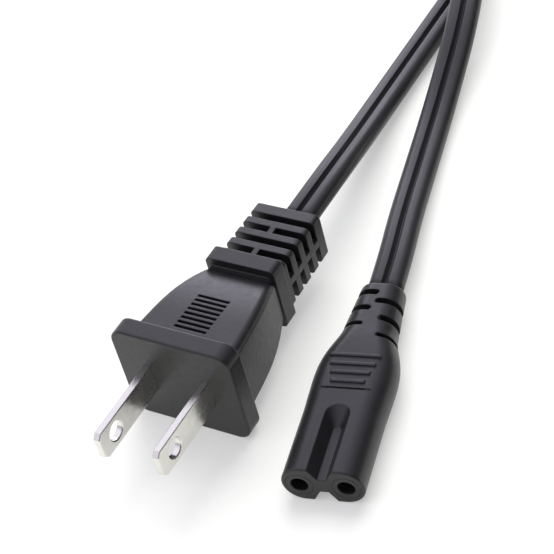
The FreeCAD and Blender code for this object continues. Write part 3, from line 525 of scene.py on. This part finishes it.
def flat_cord(line):
    """A tube of the cord's section along a line, lying flat, closed at both ends, with its own map."""
    outline = cord_outline()
    rounds = [0.0]
    for first, second in zip(outline, outline[1:] + outline[:1]):
        rounds.append(rounds[-1] + math.dist(first, second))
    vertices, lengths = [], []
    travelled = 0.0
    for number, point in enumerate(line):
        before = line[max(number - 1, 0)]
        after = line[min(number + 1, len(line) - 1)]
        forward = (after - before).normalized()
        sideways = forward.cross(Vector((0.0, 0.0, 1.0))).normalized()
        upward = sideways.cross(forward)
        vertices += [point + sideways * x + upward * y for x, y in outline]
        travelled += (point - before).length
        lengths.append(travelled)
    mesh = bpy.data.meshes.new("flat_twin_cord")
    mesh.from_pydata(vertices, [], tube_faces(len(line), len(outline)))
    mapped = mesh.uv_layers.new(name="along_and_round")
    for number, corner in enumerate(tube_map(lengths, rounds)):
        mapped.data[number].uv = corner
    mesh.shade_smooth()
    return mesh


def add_piece(name, mesh, material):
    """An object at the origin that shows a mesh in one material."""
    mesh.materials.clear()
    mesh.materials.append(material)
    piece = bpy.data.objects.new(name, mesh)
    bpy.context.scene.collection.objects.link(piece)
    return piece


def lay_cord(straps):
    """The whole cord, from the connector through the hank to the plug, in place of the construction's own
    cord pieces.
    """
    line = smooth_line(cord_route())
    piece = add_piece("flat_twin_cord", flat_cord(line), cord_pvc())
    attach(piece, "root")
    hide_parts("cord_from_connector", "cord_hank", "cord_to_plug")
    on_cord = ["plug_shell", "plug_core"] + straps
    on_cord += [f"{kind}_{side}" for kind in ("blade", "plug_wire", "plug_strands")
                for side in ("left", "right")]
    return piece


# The ties

def strap_line():
    """The strap's middle line round one side, outward and up: over, down, under and over its own start."""
    half = TIE_THICKNESS / 2
    reach = CORD_WIDTH / 2 + half
    top = TIE_THICKNESS * 2 + CORD_THICKNESS * HANK_LAYERS - half
    bend = CORD_THICKNESS / 2 + half
    outer, inner = reach - bend, bend - reach
    lapped = reach + LAP_LIFT
    points = [(reach, LAP_START), (reach, (LAP_START + top) / 2)]
    points += arc_points((outer, top - bend), bend, 0, 90, 6)
    points += arc_points((inner, top - bend), bend, 90, 180, 6)
    points += arc_points((inner, half + bend), bend, 180, 270, 6)
    points += arc_points((outer, half + bend), bend, 270, 360, 6)
    climb = LAP_START - half - bend
    for share, lift in ((0.35, 0.0), (0.6, 0.25), (0.8, 0.75), (1.0, 1.0)):
        points.append((reach + LAP_LIFT * lift, half + bend + climb * share))
    return points + [(lapped, (LAP_START + LAP_END) / 2), (lapped, LAP_END)]


def strap_section():
    """The strap's outline across its line, outward and across, from its outer face on, with cut corners."""
    thick, wide, cut = TIE_THICKNESS / 2, TIE_WIDTH / 2, TIE_CORNER
    return [(thick, cut - wide), (thick, wide - cut), (thick - cut, wide), (cut - thick, wide),
            (-thick, wide - cut), (-thick, cut - wide), (cut - thick, -wide), (thick - cut, -wide)]


def strap_mesh(side):
    """A strap of even thickness along its line, its outer faces marked for the pile."""
    centre = Vector((HANK_PLACE + HANK_TURN * side, HANK_NEAR + HANK_RUN / 2, 0.0))
    section, line = strap_section(), strap_line()
    count = len(section)
    vertices = []
    for number, (out, up) in enumerate(line):
        before, after = line[max(number - 1, 0)], line[min(number + 1, len(line) - 1)]
        run = Vector((after[0] - before[0], after[1] - before[1])).normalized()
        for away, across in section:
            place = (side * (out + run.y * away), across, up - run.x * away)
            vertices.append(centre + Vector(place))
    mesh = bpy.data.meshes.new("strap")
    mesh.from_pydata(vertices, [], tube_faces(len(line), count))
    outer = [float(number == 0 and up > TIE_THICKNESS) for out, up in line[:-1] for number in range(count)]
    mesh.attributes.new("pile", "FLOAT", "FACE").data.foreach_set("value", outer + [0.0, 0.0])
    form = bmesh.new()
    form.from_mesh(mesh)
    bmesh.ops.recalc_face_normals(form, faces=form.faces)
    form.to_mesh(mesh)
    form.free()
    return mesh


def add_node(tree, kind, inputs=None, **settings):
    """A node of a tree that isn't a material's, with its settings, and its inputs' values or links."""
    made = tree.nodes.new(kind)
    for name, value in settings.items():
        setattr(made, name, value)
    for key, value in (inputs or {}).items():
        if isinstance(value, bpy.types.NodeSocket):
            tree.links.new(value, made.inputs[key])
        else:
            made.inputs[key].default_value = value
    return made


def thread_loop(tree, given):
    """One standing loop of thread: half a circle, three-sided in its section."""
    arch = add_node(tree, "GeometryNodeCurveArc", {
        "Resolution": 6, "Radius": given["Loop Radius"], "Sweep Angle": math.pi})
    standing = add_node(tree, "GeometryNodeTransform", {
        "Geometry": arch.outputs["Curve"], "Rotation": (math.pi / 2, 0.0, 0.0)})
    thread = add_node(tree, "GeometryNodeCurvePrimitiveCircle", {
        "Resolution": 3, "Radius": given["Thread Radius"]})
    loop = add_node(tree, "GeometryNodeCurveToMesh", {
        "Curve": standing.outputs[0], "Profile Curve": thread.outputs["Curve"]})
    return loop.outputs[0]


def pile_tree(material):
    """Geometry nodes that scatter small standing loops of thread over the marked faces of a strap."""
    tree = bpy.data.node_groups.new("loop_pile", "GeometryNodeTree")
    for name, kind in (("Strap", "Geometry"), ("Density", "Float"), ("Loop Radius", "Float"),
                       ("Thread Radius", "Float"), ("Seed", "Int")):
        tree.interface.new_socket(name, in_out="INPUT", socket_type=f"NodeSocket{kind}")
    tree.interface.new_socket("Strap", in_out="OUTPUT", socket_type="NodeSocketGeometry")
    given = tree.nodes.new("NodeGroupInput").outputs
    marked = add_node(tree, "GeometryNodeInputNamedAttribute", {"Name": "pile"}, data_type="FLOAT")
    density = add_node(tree, "ShaderNodeMath", {0: marked.outputs[0], 1: given["Density"]},
                       operation="MULTIPLY")
    points = add_node(tree, "GeometryNodeDistributePointsOnFaces", {
        "Mesh": given["Strap"], "Density": density.outputs[0], "Seed": given["Seed"]})
    placed = add_node(tree, "GeometryNodeInstanceOnPoints", {
        "Points": points.outputs["Points"], "Instance": thread_loop(tree, given),
        "Rotation": points.outputs["Rotation"]})
    turn = add_node(tree, "FunctionNodeRandomValue", {
        0: (-PILE_LEAN, -PILE_LEAN, 0.0), 1: (PILE_LEAN, PILE_LEAN, math.tau)}, data_type="FLOAT_VECTOR")
    turned = add_node(tree, "GeometryNodeRotateInstances", {
        "Instances": placed.outputs[0], "Rotation": turn.outputs[0]})
    joined = tree.nodes.new("GeometryNodeJoinGeometry")
    real = add_node(tree, "GeometryNodeRealizeInstances", {"Geometry": turned.outputs[0]})
    tree.links.new(real.outputs[0], joined.inputs[0])
    tree.links.new(given["Strap"], joined.inputs[0])
    dressed = add_node(tree, "GeometryNodeSetMaterial", {"Geometry": joined.outputs[0], "Material": material})
    tree.links.new(dressed.outputs[0], tree.nodes.new("NodeGroupOutput").inputs[0])
    return tree


def tie_strap(name, side, tree, material):
    """A hook-and-loop tie round one side of the hank, lapped over its own start."""
    holder = bpy.data.objects.new(name, strap_mesh(side))
    bpy.context.scene.collection.objects.link(holder)
    grown = holder.modifiers.new("pile", "NODES")
    grown.node_group = tree
    sizes = {"Density": PILE_DENSITY, "Loop Radius": PILE_LOOP_RADIUS,
             "Thread Radius": PILE_THREAD_RADIUS, "Seed": PILE_SEED + side}
    for socket in tree.interface.items_tree:
        if socket.in_out == "INPUT" and socket.name in sizes:
            grown[socket.identifier] = sizes[socket.name]
    mesh = bpy.data.meshes.new_from_object(holder.evaluated_get(bpy.context.evaluated_depsgraph_get()))
    bpy.data.objects.remove(holder)
    piece = add_piece(name, mesh, material)
    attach(piece, "root")
    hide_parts(name.replace("strap", "hank_tie"))
    return piece


# Floor, lights and camera

def lay_floor():
    """A white floor with soft shadows, whose share of glow makes it plain white beyond them."""
    corners = [(-1, -1), (1, -1), (1, 1), (-1, 1)]
    mesh = bpy.data.meshes.new("floor")
    mesh.from_pydata([(x * FLOOR_REACH, y * FLOOR_REACH, 0) for x, y in corners], [], [(0, 1, 2, 3)])
    finish = Finish("floor", Roughness=0.9, Base_Color=FLOOR_COLOUR)
    glow = finish.node("ShaderNodeEmission", inputs={"Color": WHITE, "Strength": FLOOR_GLOW})
    kinds = ("Camera", "Glossy", "Transmission")
    direct, glossy, through = [finish.node("ShaderNodeLightPath", output=f"Is {kind} Ray") for kind in kinds]
    seen = direct.high(glossy).high(through)
    lit = Value(finish, finish.shader.outputs[0])
    shown = finish.node("ShaderNodeMixShader", inputs=[seen * GLOW_SHARE, lit, glow])
    finish.tree.links.new(shown.socket, finish.tree.nodes["Material Output"].inputs["Surface"])
    floor = add_piece("floor", mesh, finish.material)


def add_lamp(name, place, size, watts, colour=WHITE[:3], reflected=True):
    """A square soft box that faces the two ends of the lead."""
    light = bpy.data.lights.new(name, "AREA")
    light.shape = "SQUARE"
    light.size = size
    light.energy = watts
    light.color = colour
    lamp = bpy.data.objects.new(name, light)
    lamp.location = place
    lamp.rotation_euler = (Vector(LAMP_TARGET) - Vector(place)).to_track_quat("-Z", "Y").to_euler()
    lamp.visible_glossy = reflected
    bpy.context.scene.collection.objects.link(lamp)
    return lamp


def light_dome():
    """A cool dome, brightest overhead on the left, that the camera sees as plain white."""
    world = bpy.data.worlds.new("dome")
    bpy.context.scene.world = world
    world.use_nodes = True
    tree = world.node_tree
    way = add_node(tree, "ShaderNodeTexCoord")
    facing = add_node(tree, "ShaderNodeVectorMath", {0: way.outputs["Generated"], 1: DOME_TOP},
                      operation="DOT_PRODUCT")
    level = add_node(tree, "ShaderNodeMapRange", {
        "Value": facing.outputs["Value"], "From Min": 0.0, "From Max": DOME_FULL,
        "To Min": DOME_LOW, "To Max": DOME_HIGH}, interpolation_type="SMOOTHSTEP")
    lit = add_node(tree, "ShaderNodeBackground", {"Color": DOME_COLOUR, "Strength": level.outputs["Result"]})
    seen = add_node(tree, "ShaderNodeBackground", {"Color": WHITE, "Strength": 1.0})
    path = add_node(tree, "ShaderNodeLightPath")
    choice = add_node(tree, "ShaderNodeMixShader", {
        0: path.outputs["Is Camera Ray"], 1: lit.outputs[0], 2: seen.outputs[0]})
    tree.links.new(choice.outputs[0], tree.nodes["World Output"].inputs["Surface"])


def light_scene():
    """The dome, a soft box behind that gives the shadows their direction, and one that the tops reflect."""
    light_dome()
    add_lamp("back_box", BACK_PLACE, BACK_SIZE, BACK_WATTS, reflected=False)
    add_lamp("sheen_box", SHEEN_PLACE, SHEEN_SIZE, SHEEN_WATTS, SHEEN_COLOUR)


def place_camera():
    """The camera, turned so that its own -Z looks forward."""
    data = bpy.data.cameras.new("camera")
    data.lens = CAMERA_LENS
    data.sensor_width = CAMERA_SENSOR
    data.clip_start = 0.01
    camera = bpy.data.objects.new("camera", data)
    back = -CAMERA_FORWARD.normalized()
    right = CAMERA_UP.cross(back).normalized()
    up = back.cross(right)
    turned = Matrix((right, up, back)).transposed().to_4x4()
    camera.matrix_world = Matrix.Translation(CAMERA_PLACE) @ turned
    bpy.context.scene.collection.objects.link(camera)
    bpy.context.scene.camera = camera


place_camera()
lay_floor()
light_scene()

plate, plastic = nickel(), hard_plastic()
jacket, strand, sleeve, strap = insulation(), copper(), brass(), woven_strap()
pile = pile_tree(strap)
lay_cord([tie_strap("strap_left", -1, pile, strap), tie_strap("strap_right", 1, pile, strap)])
dress("connector_shell", soft_pvc("connector_pvc", marked=True))
dress("plug_shell", soft_pvc("plug_pvc"))
for label in ("connector_core", "plug_core"):
    dress(label, plastic)
for hand in ("left", "right"):
    dress(f"blade_{hand}", plate)
    dress(f"contact_{hand}", sleeve)
    for end in ("connector", "plug"):
        dress(f"{end}_wire_{hand}", jacket)
        dress(f"{end}_strands_{hand}", strand)

bpy.context.scene.view_settings.view_transform = "Standard"
